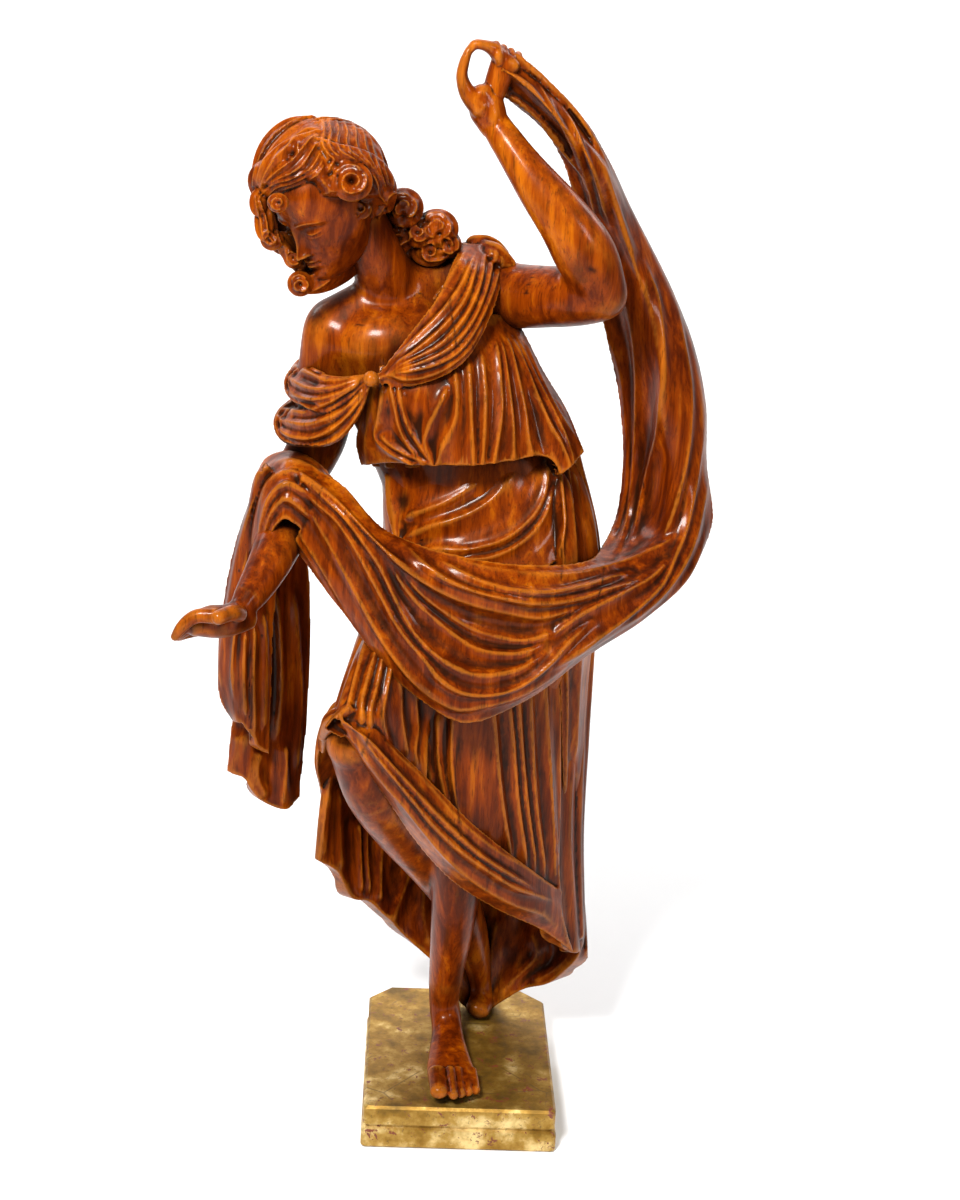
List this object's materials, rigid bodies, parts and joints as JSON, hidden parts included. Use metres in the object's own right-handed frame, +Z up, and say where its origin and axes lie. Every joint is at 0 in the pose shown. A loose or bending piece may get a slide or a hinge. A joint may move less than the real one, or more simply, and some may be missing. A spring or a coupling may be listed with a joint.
{
  "type": "wooden angel statue",
  "caption": "Carved wooden figure of a young angel in a tunic, one arm raised to hold a long sweeping shawl, on a low gilded plinth.",
  "frame": {"origin": "centre of the plinth's underside, on the floor", "axes": "+Z up, the figure faces -Y, +X towards its raised left arm"},
  "size_m": [0.6278, 0.3859, 1.2995],
  "materials": {
    "carved_wood": "glossy red-brown varnish, worn on the high places",
    "gilded_wood": "worn gold leaf over red clay ground"
  },
  "bodies": {
    "root": {"angel_figure": "carved_wood", "plinth": "gilded_wood"}
  },
  "joints": []
}
